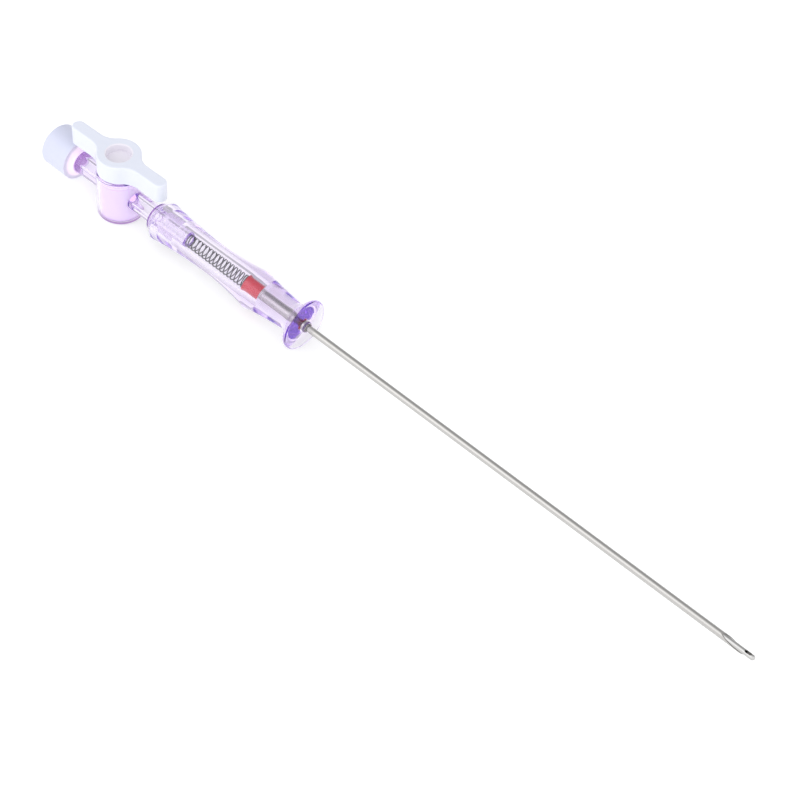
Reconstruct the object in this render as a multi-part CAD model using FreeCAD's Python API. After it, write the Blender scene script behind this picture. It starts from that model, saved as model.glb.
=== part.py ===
import FreeCAD, Part
import math
import os

from FreeCAD import Vector

# A Veress needle, in millimetres: a spring-loaded blunt stylet in a sharp steel cannula.
# +X runs along the needle to its point, +Z is up, and the origin is on the needle's axis at
# the front face of the handle's boss, where the cannula comes out.

# The needle's axis lies this high over the surface that the object rests on
axis_height = 7.7

# Cannula: the outer steel tube, with its bevel facing up and a bead that stops it in the handle
cannula_reach = 150.0
cannula_r = 1.0
bevel_length = 7.5
stop_bead_r = 1.35
stop_bead_length = 0.8

# Stylet: the inner steel tube, with a domed end and one side hole near it
stylet_r = 0.75
stylet_wall = 0.2
stylet_proud = 3.05
side_hole_length = 2.0
side_hole_width = 0.9
side_hole_setback = 1.1
running_gap = 0.05
press_overlap = 0.01

# Handle: boss, flange, neck, crest, waist and rear shoulder, from front to rear
boss_r = 2.0
boss_tip_r = 1.6
boss_length = 1.0
flange_thickness = 1.1
flange_edge = 0.45
flare_length = 4.0
flare_sag = 0.75
neck_r = 4.3
crest_back = 20.3
crest_r = 6.0
crest_round = 4.0
front_sag = 0.2
waist_back = 38.2
waist_r = 4.6
shoulder_r = 6.0
shoulder_length = 2.6
rear_face_r = 4.3
shoulder_sag = 0.45
shoulder_round = 0.8

# The bore that the indicator and the spring work in
hub_length = 16.7
bore_r = 2.45
bore_gap = 0.07

# Red indicator, spring and the plug that closes the bore
indicator_length = 5.65
indicator_edge = 0.25
stop_gap = 0.05
spring_length = 23.9
spring_r = 1.95
wire_r = 0.18
spring_turns = 18
end_turns = 1.25
nose_length = 3.3
plug_r = 3.65
plug_depth = 10.2
plug_proud = 0.6
plug_edge = 0.3
bond_gap = 0.03

# Stopcock body: the upright barrel and its two ports
tap_spacing = 15.7
barrel_r = 6.8
barrel_top = 7.3
barrel_edge = 0.4
barrel_wall = 0.87
barrel_floor = 0.9
lumen_r = 1.2
outlet_r = 2.85
outlet_insert = 4.6
inlet_r = 3.45
core_gap = 0.03
bead_height = 0.8
bead_proud = 0.2
bead_drop = 1.2

# White lever: a round hub with two wings and a recess in its top, turned a little from the needle's axis
lever_top = 13.9
lever_gap = 0.6
hub_inset = 0.3
lever_lean = 1.2
wing_reach = 18.5
wing_width = 4.2
wing_edge = 0.5
wing_root_round = 6.0
recess_r = 3.7
recess_depth = 2.5
recess_edge = 0.4

# White collar and the luer cone inside it
collar_back = 15.9
collar_length = 11.0
collar_r = 6.45
collar_rear_edge = 0.6
collar_shoulder = 1.3
collar_wall = 2.2
collar_lip = 0.4
collar_bulge = 0.5
collar_bore_r = 4.1
collar_gap = 0.1
ring_proud = 0.45
ring_length = 1.0
cone_tip_r = 2.0
cone_taper = 0.03
cone_proud = 2.1
cone_bore_r = 1.2

# Cutters run this far past the faces that they open
overrun = 1.0

# Places and radii that follow from the sizes above
bore_front = -hub_length
indicator_front = bore_front - stop_gap
indicator_rear = indicator_front - indicator_length
nose_front = indicator_rear - spring_length
seat_floor = nose_front - nose_length
handle_rear = seat_floor - plug_depth
plug_rear = handle_rear - plug_proud
tap_x = handle_rear - tap_spacing
outlet_end = plug_rear + outlet_insert
collar_front = tap_x - collar_back
collar_rear = collar_front - collar_length
cone_tip = collar_rear - cone_proud
stylet_tip = cannula_reach + stylet_proud
lever_low = barrel_top + lever_gap
hub_r = barrel_r - hub_inset
core_r = barrel_r - barrel_wall - core_gap


def line(start, end):
    return Part.LineSegment(Vector(*start), Vector(*end)).toShape()


def arc(start, middle, end):
    return Part.Arc(Vector(*start), Vector(*middle), Vector(*end)).toShape()


def rod(radius, start, end):
    """A round bar on the needle's axis, between two places on it."""
    return Part.makeCylinder(radius, end - start, Vector(start, 0, 0), Vector(1, 0, 0))


def post(radius, low, high):
    """A round bar on the stopcock's upright axis."""
    return Part.makeCylinder(radius, high - low, Vector(tap_x, 0, low), Vector(0, 0, 1))


def cone(start_r, end_r, start, end):
    return Part.makeCone(start_r, end_r, end - start, Vector(start, 0, 0), Vector(1, 0, 0))


def turned(edges):
    """A solid of revolution about the needle's axis, from a closed outline of edges."""
    outline = Part.Wire(Part.__sortEdges__(edges))
    return Part.Face(outline).revolve(Vector(0, 0, 0), Vector(1, 0, 0), 360)


def sagged(start, end, sag):
    """An arc between two points of an outline that dips towards the axis by its sag."""
    along = Vector(end[0] - start[0], end[1] - start[1], 0)
    inward = Vector(along.y, -along.x, 0).normalize() * sag
    if inward.y > 0:
        inward = inward * -1
    middle = Vector((start[0] + end[0]) / 2, (start[1] + end[1]) / 2, 0) + inward
    return arc(start + (0,), tuple(middle), end + (0,))


def round_edges(solid, picks, radius):
    """Fillets the edges that a test picks out."""
    return solid.makeFillet(radius, [edge for edge in solid.Edges if picks(edge)])


def is_ring(edge, axis, place, radius):
    """True for a full circle at a place along an axis, 0 for X and 2 for Z."""
    curve = edge.Curve
    if not isinstance(curve, Part.Circle):
        return False
    near = abs(curve.Center[axis] - place) < 1e-4 and abs(curve.Radius - radius) < 1e-4
    return near and abs(abs(curve.Axis[axis]) - 1) < 1e-6


def make_cannula():
    tube = rod(cannula_r, bore_front, cannula_reach).fuse(rod(stop_bead_r, -stop_bead_length, 0))
    tube = tube.cut(rod(stylet_r + running_gap, bore_front - overrun, cannula_reach + overrun))
    # The bevel rises from the point, at the bottom of the tube, back to its heel on top
    side = cannula_r + overrun
    heel = cannula_reach - bevel_length * (cannula_r + side) / (2 * cannula_r)
    beyond = cannula_reach + bevel_length * overrun / (2 * cannula_r)
    corners = [Vector(heel, -side, side), Vector(beyond, -side, side), Vector(beyond, -side, -side)]
    waste = Part.Face(Part.makePolygon(corners + corners[:1])).extrude(Vector(0, 2 * side, 0))
    return tube.cut(waste)


def make_stylet():
    dome_centre = stylet_tip - stylet_r
    body = rod(stylet_r, indicator_rear, dome_centre)
    body = body.fuse(Part.makeSphere(stylet_r, Vector(dome_centre, 0, 0))).removeSplitter()
    hole_front = stylet_tip - side_hole_setback
    hole_rear = hole_front - side_hole_length
    body = body.cut(rod(stylet_r - stylet_wall, indicator_rear - overrun, hole_front))
    # The side hole is a slot with round ends through the upper wall
    end_r = side_hole_width / 2
    for place in (hole_rear + end_r, hole_front - end_r):
        body = body.cut(Part.makeCylinder(end_r, 2 * stylet_r, Vector(place, 0, 0)))
    middle = Part.makeBox(
        side_hole_length - side_hole_width,
        side_hole_width,
        2 * stylet_r,
        Vector(hole_rear + end_r, -end_r, 0),
    )
    return body.cut(middle)


def make_indicator():
    outer_r = bore_r - bore_gap
    body = rod(outer_r, indicator_rear, indicator_front)
    ends = (indicator_rear, indicator_front)
    body = round_edges(
        body, lambda edge: any(is_ring(edge, 0, end, outer_r) for end in ends), indicator_edge
    )
    return body.cut(rod(stylet_r, indicator_rear - overrun, indicator_front + overrun))


def make_spring():
    wire_d = 2 * wire_r
    closed = end_turns * wire_d
    open_turns = spring_turns - 2 * end_turns
    open_length = spring_length - wire_d - 2 * closed
    coil_r = spring_r - wire_r
    path = []
    turned_by = 0
    start = 0
    for turns, length in ((end_turns, closed), (open_turns, open_length), (end_turns, closed)):
        coil = Part.makeHelix(length / turns, length, coil_r)
        coil.rotate(Vector(0, 0, 0), Vector(0, 0, 1), turned_by)
        coil.translate(Vector(0, 0, start))
        path += coil.Edges
        turned_by += 360 * turns
        start += length
    spine = Part.Wire(path)
    section = Part.Wire(Part.makeCircle(wire_r, Vector(coil_r, 0, 0), Vector(0, 1, 0)))
    coil = spine.makePipeShell([section], True, True)
    coil.translate(Vector(0, 0, wire_r))
    coil.rotate(Vector(0, 0, 0), Vector(0, 1, 0), 90)
    coil.translate(Vector(nose_front, 0, 0))
    return coil


def make_handle():
    rim_r = axis_height
    rim_front = -boss_length
    rim_rear = rim_front - flange_thickness
    neck_x = rim_rear - flare_length
    shoulder_x = handle_rear + shoulder_length
    edges = [
        line((0, 0, 0), (0, boss_tip_r, 0)),
        line((0, boss_tip_r, 0), (rim_front, boss_r, 0)),
        line((rim_front, boss_r, 0), (rim_front, rim_r, 0)),
        line((rim_front, rim_r, 0), (rim_rear, rim_r, 0)),
        sagged((rim_rear, rim_r), (neck_x, neck_r), flare_sag),
        sagged((neck_x, neck_r), (-crest_back, crest_r), front_sag),
        # The waist is one arc through its narrowest place
        arc((-crest_back, crest_r, 0), (-waist_back, waist_r, 0), (shoulder_x, shoulder_r, 0)),
        sagged((shoulder_x, shoulder_r), (handle_rear, rear_face_r), -shoulder_sag),
        line((handle_rear, rear_face_r, 0), (handle_rear, 0, 0)),
        line((handle_rear, 0, 0), (0, 0, 0)),
    ]
    body = turned(edges)
    rims = (rim_front, rim_rear)
    body = round_edges(body, lambda edge: any(is_ring(edge, 0, rim, rim_r) for rim in rims), flange_edge)
    body = round_edges(body, lambda edge: is_ring(edge, 0, -crest_back, crest_r), crest_round)
    body = round_edges(body, lambda edge: is_ring(edge, 0, shoulder_x, shoulder_r), shoulder_round)
    body = body.cut(rod(cannula_r - press_overlap, bore_front - overrun, overrun))
    body = body.cut(rod(stop_bead_r - press_overlap, -stop_bead_length, overrun))
    body = body.cut(rod(bore_r, seat_floor - overrun, bore_front))
    return body.cut(rod(plug_r + bond_gap, handle_rear - overrun, seat_floor))


def make_rear_plug():
    body = rod(plug_r, plug_rear, seat_floor - bond_gap)
    body = round_edges(body, lambda edge: is_ring(edge, 0, plug_rear, plug_r), plug_edge)
    body = body.fuse(rod(bore_r - bond_gap, plug_rear, nose_front)).removeSplitter()
    body = body.cut(rod(outlet_r + bond_gap, plug_rear - overrun, outlet_end + bond_gap))
    return body.cut(rod(lumen_r, plug_rear - overrun, nose_front + overrun))


def make_stopcock_body():
    barrel = post(barrel_r, -axis_height, barrel_top)
    ends = (-axis_height, barrel_top)
    barrel = round_edges(
        barrel, lambda edge: any(is_ring(edge, 2, end, barrel_r) for end in ends), barrel_edge
    )
    outlet = rod(outlet_r, tap_x, outlet_end)
    inlet = rod(inlet_r, collar_front - collar_wall - ring_length, tap_x)
    ring_front = collar_front - collar_wall - collar_gap
    ring = rod(inlet_r + ring_proud, ring_front - ring_length, ring_front)
    cone_base = ring_front - ring_length
    cone_base_r = cone_tip_r + cone_taper * (cone_base - cone_tip)
    luer = cone(cone_tip_r, cone_base_r, cone_tip, cone_base)
    body = barrel.fuse([outlet, inlet, ring, luer]).removeSplitter()
    body = body.cut(post(core_r + core_gap, -axis_height + barrel_floor, barrel_top + overrun))
    # The core's bead snaps into this groove and holds the lever down
    bead = barrel_top - bead_drop
    groove = post(core_r + core_gap + bead_proud, bead - bead_height - core_gap, bead + core_gap)
    body = body.cut(groove)
    body = body.cut(rod(lumen_r, tap_x, outlet_end + overrun))
    return body.cut(rod(cone_bore_r, cone_tip - overrun, tap_x))


def lever_outline():
    """The lever's plan: the hub's circle and two round-ended wings, joined by fillets."""
    half = wing_width / 2
    round_x = math.sqrt((hub_r + wing_root_round) ** 2 - (half + wing_root_round) ** 2)
    reach = wing_reach - half
    share = hub_r / (hub_r + wing_root_round)
    touch = (round_x * share, (half + wing_root_round) * share)
    lean = math.atan2(half + wing_root_round, round_x)
    swing = 1.25 * math.pi + lean / 2
    hollow = (
        round_x + wing_root_round * math.cos(swing),
        half + wing_root_round * (1 + math.sin(swing)),
    )
    edges = []
    for x_side in (1, -1):
        for y_side in (1, -1):
            def at(x, y):
                return (tap_x + x_side * x, y_side * y, lever_low)
            edges.append(arc(at(*touch), at(*hollow), at(round_x, half)))
            edges.append(line(at(round_x, half), at(reach, half)))
        edges.append(arc(at(reach, half), at(wing_reach, 0), at(reach, -half)))
    for y_side in (1, -1):
        left = (tap_x - touch[0], y_side * touch[1], lever_low)
        right = (tap_x + touch[0], y_side * touch[1], lever_low)
        edges.append(arc(left, (tap_x, y_side * hub_r, lever_low), right))
    return Part.Wire(Part.__sortEdges__(edges))


def make_stopcock_lever():
    wings = Part.Face(lever_outline()).extrude(Vector(0, 0, lever_top - lever_low))
    wings = round_edges(
        wings, lambda edge: abs(edge.BoundBox.ZMin - lever_top) < 1e-6, wing_edge
    )
    core = post(core_r, -axis_height + barrel_floor + core_gap, (lever_low + lever_top) / 2)
    bead = barrel_top - bead_drop
    ring = post(core_r + bead_proud, bead - bead_height, bead)
    lever = wings.fuse([core, ring]).removeSplitter()
    lever = lever.cut(post(recess_r, lever_top - recess_depth, lever_top + overrun))
    lever = round_edges(lever, lambda edge: is_ring(edge, 2, lever_top, recess_r), recess_edge)
    lever = lever.cut(rod(lumen_r, tap_x - core_r - overrun, tap_x + core_r + overrun))
    lever.rotate(Vector(tap_x, 0, 0), Vector(0, 0, 1), lever_lean)
    return lever


def make_luer_collar():
    mouth_r = inlet_r + collar_gap
    shoulder_x = collar_front - collar_shoulder
    lip_r = mouth_r + collar_lip
    wall_x = collar_front - collar_wall
    edges = [
        line((collar_rear, collar_bore_r, 0), (collar_rear, collar_r, 0)),
        line((collar_rear, collar_r, 0), (shoulder_x, collar_r, 0)),
        sagged((shoulder_x, collar_r), (collar_front, lip_r), -collar_bulge),
        line((collar_front, lip_r, 0), (collar_front, mouth_r, 0)),
        line((collar_front, mouth_r, 0), (wall_x, mouth_r, 0)),
        line((wall_x, mouth_r, 0), (wall_x, collar_bore_r, 0)),
        line((wall_x, collar_bore_r, 0), (collar_rear, collar_bore_r, 0)),
    ]
    body = turned(edges)
    return round_edges(body, lambda edge: is_ring(edge, 0, collar_rear, collar_r), collar_rear_edge)


parts = {
    "cannula": make_cannula(),
    "stylet": make_stylet(),
    "indicator": make_indicator(),
    "spring": make_spring(),
    "handle": make_handle(),
    "rear_plug": make_rear_plug(),
    "stopcock_body": make_stopcock_body(),
    "stopcock_lever": make_stopcock_lever(),
    "luer_collar": make_luer_collar(),
}

os.makedirs("parts", exist_ok=True)
for name, shape in parts.items():
    shape.exportStep("parts/" + name + ".step")
    print(name, len(shape.Solids), shape.isValid(), round(shape.Volume, 3))
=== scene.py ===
import math

import bmesh
import bpy
from mathutils import Matrix, Vector


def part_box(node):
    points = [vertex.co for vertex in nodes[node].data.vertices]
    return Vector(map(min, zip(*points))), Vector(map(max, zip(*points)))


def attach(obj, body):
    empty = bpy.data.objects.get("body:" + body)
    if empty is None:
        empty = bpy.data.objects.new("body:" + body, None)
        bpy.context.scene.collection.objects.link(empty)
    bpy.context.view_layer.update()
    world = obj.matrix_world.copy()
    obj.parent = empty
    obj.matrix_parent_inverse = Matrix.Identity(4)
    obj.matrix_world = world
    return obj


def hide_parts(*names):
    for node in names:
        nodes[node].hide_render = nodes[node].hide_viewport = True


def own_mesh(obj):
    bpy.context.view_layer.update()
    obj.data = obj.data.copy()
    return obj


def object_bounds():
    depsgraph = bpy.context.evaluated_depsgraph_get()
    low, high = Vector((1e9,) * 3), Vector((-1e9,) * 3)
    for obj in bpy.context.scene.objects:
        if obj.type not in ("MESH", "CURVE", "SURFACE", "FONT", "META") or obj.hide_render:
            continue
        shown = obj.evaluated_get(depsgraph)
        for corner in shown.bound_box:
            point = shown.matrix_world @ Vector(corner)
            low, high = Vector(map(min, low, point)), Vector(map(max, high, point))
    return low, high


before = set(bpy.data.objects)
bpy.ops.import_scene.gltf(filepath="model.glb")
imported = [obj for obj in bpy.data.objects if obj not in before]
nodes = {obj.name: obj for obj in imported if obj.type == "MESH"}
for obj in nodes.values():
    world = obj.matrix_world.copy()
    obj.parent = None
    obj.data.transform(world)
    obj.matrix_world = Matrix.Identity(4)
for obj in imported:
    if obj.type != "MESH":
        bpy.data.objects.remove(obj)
cad_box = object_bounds()

# The camera: where it stands round the object, and what the photograph shows in its middle part
azimuth = math.radians(39.013)
elevation = math.radians(48.45)
roll = math.radians(5.358)
lens_mm = 99.0
sensor_mm = 36.0
photo_px = 800
aim_place = Vector((0.070, 0, 0))
aim_px = (499.73, 470.20)
aim_depth = 0.57102

# Light levels, relative to white paper, and the cosines between which the far side darkens
sky_colour = (0.98, 0.99, 1.0)
sky_level = 1.35
far_level = 0.57
far_side = (-0.35, 0.75, 0.56)
far_begins = 0.3
far_full = 0.9
floor_colour = (0.62, 0.62, 0.62)
floor_glow = 0.48
floor_size = 20.0
softbox_level = 0.45
softbox_size = 1.5
softbox_side = (-0.42, -0.67, 0.60)
softbox_distance = 1.8

# Light crosses the clear plastic through many surfaces, and is followed through this many
light_bounces = 40

# Colours of the pieces, and how strongly the clear ones tint the light that crosses them
violet = (0.50, 0.17, 0.85)
clear_ior = 1.50
handle_density = 36
plug_density = 50
stopcock_density = 51
glue_density = 10
cannula_colour = (0.54, 0.525, 0.51)
stylet_colour = (0.56, 0.55, 0.54)
wire_colour = (0.11, 0.105, 0.12)
streak_shade = 0.94
red = (0.8, 0.006, 0.04)
red_tones = ((0.76, 0.004, 0.03), (0.84, 0.008, 0.05))

# White plastic: its tones, and the colours and faint glows of the recess, the core and the collar,
# where painted light lifts their shade
milky = (0.74, 0.76, 0.86)
lever_tones = ((0.72, 0.745, 0.85), (0.76, 0.78, 0.87))
collar_tones = ((0.60, 0.62, 0.77), (0.64, 0.65, 0.79))
# The recess in the lever's top: a warmer colour, and a faint glow of painted fill light that lifts its
# shade
recess_colour = (0.72, 0.69, 0.735)
recess_painted_glow = (0.08, 0.078, 0.10)
# Painted light on the lever's core seen through the barrel: a lighter colour and a glow that lift it
# out of shade
core_painted_light_colour = (0.90, 0.80, 0.95)
core_painted_glow = (0.30, 0.22, 0.40)
# Painted light on the collar's front edge: a lighter colour and a glow that take away its shaded ring
collar_front_painted_light_colour = (0.85, 0.78, 0.86)
collar_front_painted_glow = (0.22, 0.12, 0.18)
# Painted light inside the collar, where its closed-in bore would sit in shade: a lighter colour and a
# glow
collar_inside_painted_light_colour = (0.85, 0.75, 0.88)
collar_inside_painted_glow = (0.24, 0.14, 0.30)
no_glow = (0.0, 0.0, 0.0)

# The scales of the grains and the rings, and how deep their relief is in metres
clear_grain = 900
clear_wave = 110
clear_wave_depth = 0.00002
plug_rings = 260.0
plug_ring_depth = 0.00001
milky_gloss_grain = 500
milky_tone_grain = 300
milky_grain = 2500
milky_grain_depth = 0.000008
steel_grain = 3000
steel_stretch = (0.02, 1, 1)
steel_grain_depth = 0.000003
red_tone_grain = 400
red_grain = 1500
red_grain_depth = 0.00001

# Spring: the same coil as the solid that it stands for, in metres
wire_r = 0.00018
spring_turns = 18
end_turns = 1.25
steps_per_turn = 40
wire_sides = 12

# The box that the spring's solid fills
spring_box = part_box("spring")

# Lock thread in the collar: two starts of a ridge that tapers out at its ends
thread_lead = 0.005
thread_turns = 1.1
thread_base = 0.0017
thread_crest = 0.0008
thread_height = 0.0006
thread_sunk = 0.00005
thread_inset = 0.0007
thread_taper = 0.12
thread_end_rise = 0.1
collar_bore_r = 0.0041

# Bead of clear glue where the cannula leaves the boss
glue_length = 0.0008
glue_rise = 0.00045
cannula_r = 0.001
glue_sunk = 0.00003
glue_steps = 8
round_steps = 64

# Where the lever's core starts below the wings, and how wide the recess in its top is
core_top = 0.0074
recess_r = 0.0039

# How wide the collar's inside with painted light is, and how far its front edge with painted light
# reaches back
collar_inside_r = 0.0043
collar_front_depth = 0.0014

# The soft step between two tints of one piece
soft_step = 0.0003

# The rims under the barrel and at the handle's rear, which get painted shade: a deeper colour than the
# walls
low_rim_height = 0.0009
rear_rim_length = 0.0003
rim_painted_shade = (0.36, 0.17, 0.52)

# Edges of the made meshes that turn more than this stay sharp
sharp_angle = math.radians(35)


def add_camera():
    """The camera that sees the aim place at its pixel, at its depth."""
    back = Vector((
        math.sin(azimuth) * math.cos(elevation),
        -math.cos(azimuth) * math.cos(elevation),
        math.sin(elevation),
    ))
    level = Vector((0, 0, 1)).cross(back).normalized()
    upright = back.cross(level)
    right = math.cos(roll) * level + math.sin(roll) * upright
    up = back.cross(right)
    focal_px = lens_mm / sensor_mm * photo_px
    across = (aim_px[0] - photo_px / 2) / focal_px
    down = (aim_px[1] - photo_px / 2) / focal_px
    place = aim_place - aim_depth * (right * across - up * down - back)
    data = bpy.data.cameras.new("camera")
    data.lens = lens_mm
    data.sensor_width = sensor_mm
    data.clip_start = 0.01
    data.clip_end = 50
    camera = bpy.data.objects.new("camera", data)
    bpy.context.scene.collection.objects.link(camera)
    turn = Matrix((right, up, back)).transposed().to_4x4()
    camera.matrix_world = Matrix.Translation(place) @ turn
    bpy.context.scene.camera = camera


def add_world():
    """A soft white studio, darker on the far side, where no light hangs."""
    world = bpy.data.worlds.new("studio")
    bpy.context.scene.world = world
    world.use_nodes = True
    tree = world.node_tree
    tree.nodes.clear()
    make = tree.nodes.new
    place = make("ShaderNodeTexCoord")
    toward = make("ShaderNodeVectorMath")
    toward.operation = "DOT_PRODUCT"
    toward.inputs[1].default_value = Vector(far_side).normalized()
    levels = make("ShaderNodeMapRange")
    levels.interpolation_type = "SMOOTHSTEP"
    levels.inputs["From Min"].default_value = far_begins
    levels.inputs["From Max"].default_value = far_full
    levels.inputs["To Min"].default_value = sky_level
    levels.inputs["To Max"].default_value = far_level
    background = make("ShaderNodeBackground")
    background.inputs["Color"].default_value = (*sky_colour, 1)
    out = make("ShaderNodeOutputWorld")
    tree.links.new(place.outputs["Generated"], toward.inputs[0])
    tree.links.new(toward.outputs["Value"], levels.inputs["Value"])
    tree.links.new(levels.outputs["Result"], background.inputs["Strength"])
    tree.links.new(background.outputs["Background"], out.inputs["Surface"])


def add_softbox():
    """A large round lamp to the left of the camera, which adds its level to the studio's."""
    data = bpy.data.lights.new("softbox", "AREA")
    data.shape = "DISK"
    data.size = softbox_size
    data.energy = softbox_level * math.pi * math.pi * (softbox_size / 2) ** 2
    lamp = bpy.data.objects.new("softbox", data)
    lamp.location = Vector(softbox_side).normalized() * softbox_distance
    lamp.rotation_euler = lamp.location.to_track_quat("Z", "Y").to_euler()
    bpy.context.scene.collection.objects.link(lamp)


def add_floor():
    """A sheet of pale paper under the part, which glows a little as an overexposed sheet does."""
    low = cad_box[0][2]
    half = floor_size / 2
    mesh = bpy.data.meshes.new("floor")
    mesh.from_pydata(
        [(-half, -half, low), (half, -half, low), (half, half, low), (-half, half, low)],
        [],
        [(0, 1, 2, 3)],
    )
    floor = bpy.data.objects.new("floor", mesh)
    bpy.context.scene.collection.objects.link(floor)
    paper = Material("paper", floor_colour, roughness=0.9)
    paper.shader.inputs["Emission Color"].default_value = (1, 1, 1, 1)
    paper.shader.inputs["Emission Strength"].default_value = floor_glow
    mesh.materials.append(paper.material)


class Material:
    """A node material with one Principled shader."""

    def __init__(self, name, colour, roughness=0.3, **sockets):
        self.material = bpy.data.materials.new(name)
        self.material.use_nodes = True
        self.tree = self.material.node_tree
        self.shader = self.tree.nodes["Principled BSDF"]
        self.out = self.tree.nodes["Material Output"]
        self.shader.inputs["Base Color"].default_value = (*colour, 1)
        self.shader.inputs["Roughness"].default_value = roughness
        for socket, value in sockets.items():
            self.shader.inputs[socket.replace("_", " ")].default_value = value

    def node(self, kind, **values):
        made = self.tree.nodes.new(kind)
        for socket, value in values.items():
            made.inputs[socket.replace("_", " ")].default_value = value
        return made

    def link(self, source, target):
        self.tree.links.new(source, target)

    def place(self):
        """A point's place on the piece, which turns and slides with it."""
        return self.node("ShaderNodeTexCoord").outputs["Object"]

    def noise(self, scale, detail, stretch=(1, 1, 1)):
        """A noise value with about so many features a metre, stretched where an axis is scaled down."""
        mapping = self.node("ShaderNodeMapping", Scale=stretch)
        self.link(self.place(), mapping.inputs["Vector"])
        made = self.node("ShaderNodeTexNoise", Scale=scale, Detail=detail)
        self.link(mapping.outputs["Vector"], made.inputs["Vector"])
        return made.outputs["Fac"]

    def spread(self, value, low, high):
        """Maps a noise value to a range."""
        levels = self.node("ShaderNodeMapRange", From_Min=0.3, From_Max=0.7)
        levels.inputs["To Min"].default_value = low
        levels.inputs["To Max"].default_value = high
        self.link(value, levels.inputs["Value"])
        return levels.outputs["Result"]

    def below(self, axis, place):
        """1 below a place on an axis, and 0 a soft step above it."""
        parts = self.node("ShaderNodeSeparateXYZ")
        self.link(self.place(), parts.inputs["Vector"])
        return self.fade(parts.outputs[axis], place)

    def near(self, centre, axes, distance):
        """1 nearer to a line than a distance, and 0 a soft step beyond it."""
        offset = self.node("ShaderNodeVectorMath")
        offset.operation = "SUBTRACT"
        offset.inputs[1].default_value = centre
        self.link(self.place(), offset.inputs[0])
        across = self.node("ShaderNodeVectorMath")
        across.operation = "MULTIPLY"
        across.inputs[1].default_value = axes
        self.link(offset.outputs["Vector"], across.inputs[0])
        length = self.node("ShaderNodeVectorMath")
        length.operation = "LENGTH"
        self.link(across.outputs["Vector"], length.inputs[0])
        return self.fade(length.outputs["Value"], distance)

    def fade(self, value, end):
        """1 up to an end value, and 0 a soft step above it."""
        levels = self.node("ShaderNodeMapRange", To_Min=1.0, To_Max=0.0)
        levels.inputs["From Min"].default_value = end
        levels.inputs["From Max"].default_value = end + soft_step
        self.link(value, levels.inputs["Value"])
        return levels.outputs["Result"]

    def bump(self, value, depth):
        """Fine relief of a depth in metres."""
        made = self.node("ShaderNodeBump", Strength=1.0, Distance=depth)
        self.link(value, made.inputs["Height"])
        self.link(made.outputs["Normal"], self.shader.inputs["Normal"])

    def mix(self, value, first, second):
        """Mixes two colours, each a tuple or another node's output."""
        made = self.node("ShaderNodeMix")
        made.data_type = "RGBA"
        for socket, colour in ((made.inputs[6], first), (made.inputs[7], second)):
            if isinstance(colour, tuple):
                socket.default_value = (*colour, 1)
            else:
                self.link(colour, socket)
        self.link(value, made.inputs[0])
        return made.outputs[2]


def clear_plastic(name, density, rings=False, rim=None):
    """Violet plastic that light goes through, with the faint waves or rings of a moulding.

    A rim is an axis and the place on it below which the surface gets painted shade, a deeper tint.
    """
    made = Material(name, (1, 1, 1), roughness=0.02, Transmission_Weight=1.0, IOR=clear_ior)
    inside = made.node("ShaderNodeVolumeAbsorption", Color=(*violet, 1), Density=density)
    made.link(inside.outputs["Volume"], made.out.inputs["Volume"])
    gloss = made.spread(made.noise(clear_grain, 3.0), 0.01, 0.03)
    made.link(gloss, made.shader.inputs["Roughness"])
    if rim:
        # Painted shade: below the place on the axis the surface takes a deeper colour
        shaded_rim_colour = made.mix(made.below(*rim), (1.0, 1.0, 1.0), rim_painted_shade)
        made.link(shaded_rim_colour, made.shader.inputs["Base Color"])
    if rings:
        wave = made.node("ShaderNodeTexWave", Scale=plug_rings, Distortion=2.0, Detail=1.0)
        made.link(made.place(), wave.inputs["Vector"])
        made.bump(wave.outputs["Fac"], plug_ring_depth)
    else:
        made.bump(made.noise(clear_wave, 1.0), clear_wave_depth)
    return made.material


def milky_plastic(name):
    """White plastic with a fine grain, ready for the tones and the painted glow of its piece."""
    made = Material(name, milky, roughness=0.35, IOR=1.5)
    gloss = made.spread(made.noise(milky_gloss_grain, 3.0), 0.3, 0.42)
    made.link(gloss, made.shader.inputs["Roughness"])
    made.bump(made.noise(milky_grain, 3.0), milky_grain_depth)
    # Full emission strength, so that each piece's emission colour sets its painted glow
    made.shader.inputs["Emission Strength"].default_value = 1.0
    return made


def lever_plastic(name):
    """The lever's white, with a warmer colour and a painted glow in the recess in its top, and painted
    light on the core inside the barrel: a lighter colour and a glow.
    """
    made = milky_plastic(name)
    tap = centre_of("stopcock_lever")
    core = made.below("Z", core_top)
    recess = made.near(tap, (1, 1, 0), recess_r)
    mottle = made.mix(made.noise(milky_tone_grain, 2.0), *lever_tones)
    # The recess gets a warmer colour here, and below a painted glow that fills its shade
    top = made.mix(recess, mottle, recess_colour)
    # The core below the wings gets painted light: a lighter colour here and a glow below
    made.link(made.mix(core, top, core_painted_light_colour), made.shader.inputs["Base Color"])
    # Painted glows: fill light in the recess, and on the core inside the barrel
    glow = made.mix(recess, no_glow, recess_painted_glow)
    made.link(made.mix(core, glow, core_painted_glow), made.shader.inputs["Emission Color"])
    return made.material


def collar_plastic(name):
    """The collar's white, with painted light at its front edge and inside: a lighter colour and a glow
    that take away their shade.
    """
    made = milky_plastic(name)
    inside = made.near((0, 0, 0), (0, 1, 1), collar_inside_r)
    behind_front = made.below("X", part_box("luer_collar")[1][0] - collar_front_depth)
    mottle = made.mix(made.noise(milky_tone_grain, 2.0), *collar_tones)
    # The front edge gets painted light: a lighter colour here and a glow below
    outside = made.mix(behind_front, collar_front_painted_light_colour, mottle)
    # The inside gets painted light: a lighter colour here and a glow below
    made.link(made.mix(inside, outside, collar_inside_painted_light_colour), made.shader.inputs["Base Color"])
    glow = made.mix(behind_front, collar_front_painted_glow, no_glow)
    made.link(made.mix(inside, glow, collar_inside_painted_glow), made.shader.inputs["Emission Color"])
    return made.material


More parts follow.
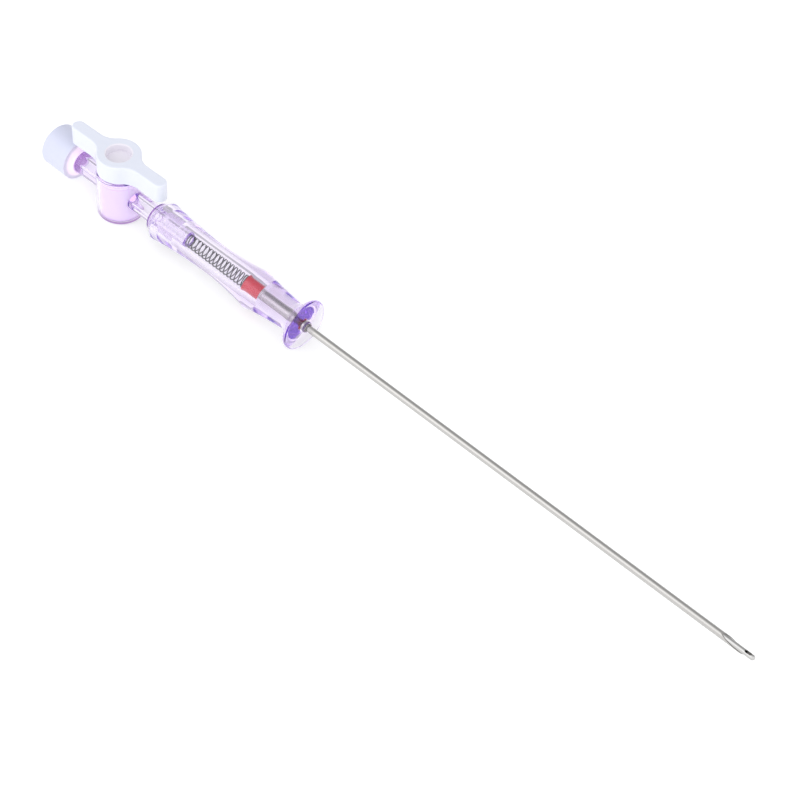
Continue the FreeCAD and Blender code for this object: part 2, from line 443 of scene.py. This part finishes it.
def tube_steel(name, colour, roughness=0.2):
    """Drawn steel with fine streaks along the needle's axis."""
    made = Material(name, colour, roughness=roughness, Metallic=1.0)
    streaks = made.noise(steel_grain, 3.0, stretch=steel_stretch)
    gloss = made.spread(streaks, roughness - 0.05, roughness + 0.07)
    made.link(gloss, made.shader.inputs["Roughness"])
    darker = tuple(streak_shade * part for part in colour)
    made.link(made.mix(streaks, darker, colour), made.shader.inputs["Base Color"])
    made.bump(streaks, steel_grain_depth)
    return made.material


def red_plastic(name):
    """The indicator's red, faintly mottled and grained."""
    made = Material(name, red, roughness=0.28, IOR=1.45)
    mottle = made.mix(made.noise(red_tone_grain, 2.0), *red_tones)
    made.link(mottle, made.shader.inputs["Base Color"])
    made.bump(made.noise(red_grain, 3.0), red_grain_depth)
    return made.material


def centre_of(node):
    """The middle of a solid's box."""
    low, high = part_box(node)
    return [(low[axis] + high[axis]) / 2 for axis in range(3)]


def dress(node, material):
    """Gives a solid its material."""
    mesh = nodes[node].data
    mesh.materials.clear()
    mesh.materials.append(material)


def skin(name, rings, round_trip=False):
    """A mesh over rings of as many points each, closed by its end rings or back on itself."""
    count = len(rings[0])
    points = [point for ring in rings for point in ring]
    faces = []
    for step in range(len(rings) if round_trip else len(rings) - 1):
        first = step * count
        second = (step + 1) % len(rings) * count
        for side in range(count):
            after = (side + 1) % count
            faces.append((first + side, first + after, second + after, second + side))
    if not round_trip:
        faces.append(tuple(range(count)))
        faces.append(tuple(range(len(points) - count, len(points))))
    mesh = bpy.data.meshes.new(name)
    mesh.from_pydata(points, [], faces)
    shell = bmesh.new()
    shell.from_mesh(mesh)
    bmesh.ops.recalc_face_normals(shell, faces=shell.faces)
    shell.to_mesh(mesh)
    shell.free()
    mesh.shade_smooth()
    mesh.set_sharp_from_angle(angle=sharp_angle)
    piece = bpy.data.objects.new(name, mesh)
    bpy.context.scene.collection.objects.link(piece)
    return piece


def around(angle):
    """A unit vector square to the needle's axis."""
    return Vector((0, math.sin(angle), -math.cos(angle)))


def make_spring():
    """The coil that the plug and the indicator hold between them, with its end turns closed."""
    low, high = spring_box
    coil_r = (high[2] - low[2]) / 2 - wire_r
    closed = end_turns * 2 * wire_r
    open_turns = spring_turns - 2 * end_turns
    open_length = high[0] - low[0] - 2 * wire_r - 2 * closed
    centres = [Vector((low[0] + wire_r, 0, 0)) + coil_r * around(0)]
    angles = [0]
    for turns, length in ((end_turns, closed), (open_turns, open_length), (end_turns, closed)):
        steps = round(turns * steps_per_turn)
        start_x = centres[-1].x
        start_angle = angles[-1]
        for step in range(1, steps + 1):
            angle = start_angle + 2 * math.pi * turns * step / steps
            angles.append(angle)
            along = start_x + length * step / steps
            centres.append(Vector((along, 0, 0)) + coil_r * around(angle))
    rings = []
    for index, (centre, angle) in enumerate(zip(centres, angles)):
        ahead = centres[min(index + 1, len(centres) - 1)]
        behind = centres[max(index - 1, 0)]
        across = (ahead - behind).normalized().cross(around(angle))
        ring = []
        for side in range(wire_sides):
            turn = 2 * math.pi * side / wire_sides
            outward = math.cos(turn) * around(angle) + math.sin(turn) * across
            ring.append(centre + wire_r * outward)
        rings.append(ring)
    spring = skin("spring_coil", rings)
    spring.data.materials.append(tube_steel("spring_wire", wire_colour, 0.25))
    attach(spring, "needle_body")
    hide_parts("spring")
    length = high[0] - low[0]
    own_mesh(spring)


def make_thread(start_angle, number, material):
    """One start of the collar's lock thread, a ridge that stands in from the bore."""
    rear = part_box("luer_collar")[0][0] + thread_inset + thread_base / 2
    steps = round(thread_turns * steps_per_turn)
    base_r = collar_bore_r + thread_sunk
    rings = []
    for step in range(steps + 1):
        share = step / steps
        to_end = min(share, 1 - share)
        rise = min(1, to_end / thread_taper + thread_end_rise)
        crest_r = collar_bore_r - rise * thread_height
        angle = start_angle + 2 * math.pi * thread_turns * share
        x = rear + thread_lead * thread_turns * share
        section = (
            (-thread_base / 2, base_r),
            (thread_base / 2, base_r),
            (thread_crest / 2, crest_r),
            (-thread_crest / 2, crest_r),
        )
        side = around(angle)
        rings.append([Vector((x + along, 0, 0)) + radius * side for along, radius in section])
    thread = skin("lock_thread_" + str(number), rings)
    thread.data.materials.append(material)
    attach(thread, "collar_body")


def make_glue():
    """The clear fillet of glue between the boss and the cannula, a ring with a hollow slope."""
    slope = []
    for step in range(glue_steps + 1):
        lean = math.pi / 2 * step / glue_steps
        along = glue_length * (1 - math.sin(lean))
        slope.append((along, cannula_r + glue_rise * (1 - math.cos(lean))))
    section = slope + [(-glue_sunk, cannula_r + glue_rise), (-glue_sunk, cannula_r - glue_sunk)]
    section.append((glue_length, cannula_r - glue_sunk))
    rings = []
    for step in range(round_steps):
        angle = 2 * math.pi * step / round_steps
        rings.append([Vector((x, 0, 0)) + radius * around(angle) for x, radius in section])
    glue = skin("glue_fillet", rings, round_trip=True)
    glue.data.materials.append(clear_plastic("glue_clear", glue_density))
    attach(glue, "needle_body")


def follow_light():
    """Standard colours, and enough bounces that no dark patch is left in the clear plastic."""
    scene = bpy.context.scene
    scene.view_settings.view_transform = "Standard"
    scene.cycles.max_bounces = light_bounces
    scene.cycles.transmission_bounces = light_bounces
    scene.cycles.glossy_bounces = light_bounces


follow_light()
add_camera()
add_world()
add_floor()
add_softbox()

dress("cannula", tube_steel("cannula_steel", cannula_colour))
dress("stylet", tube_steel("stylet_steel", stylet_colour, 0.15))
dress("indicator", red_plastic("indicator_red"))
# Painted shade on the handle's rear rim
rear_rim = ("X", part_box("handle")[0][0] + rear_rim_length)
dress("handle", clear_plastic("handle_violet", handle_density, rim=rear_rim))
dress("rear_plug", clear_plastic("plug_violet", plug_density, rings=True))
# Painted shade on the rim under the barrel
low_rim = ("Z", cad_box[0][2] + low_rim_height)
dress("stopcock_body", clear_plastic("stopcock_violet", stopcock_density, rim=low_rim))
dress("stopcock_lever", lever_plastic("lever_white"))
collar_white = collar_plastic("collar_white")
dress("luer_collar", collar_white)
make_spring()
make_glue()
for start in range(2):
    make_thread(math.pi * start, start + 1, collar_white)
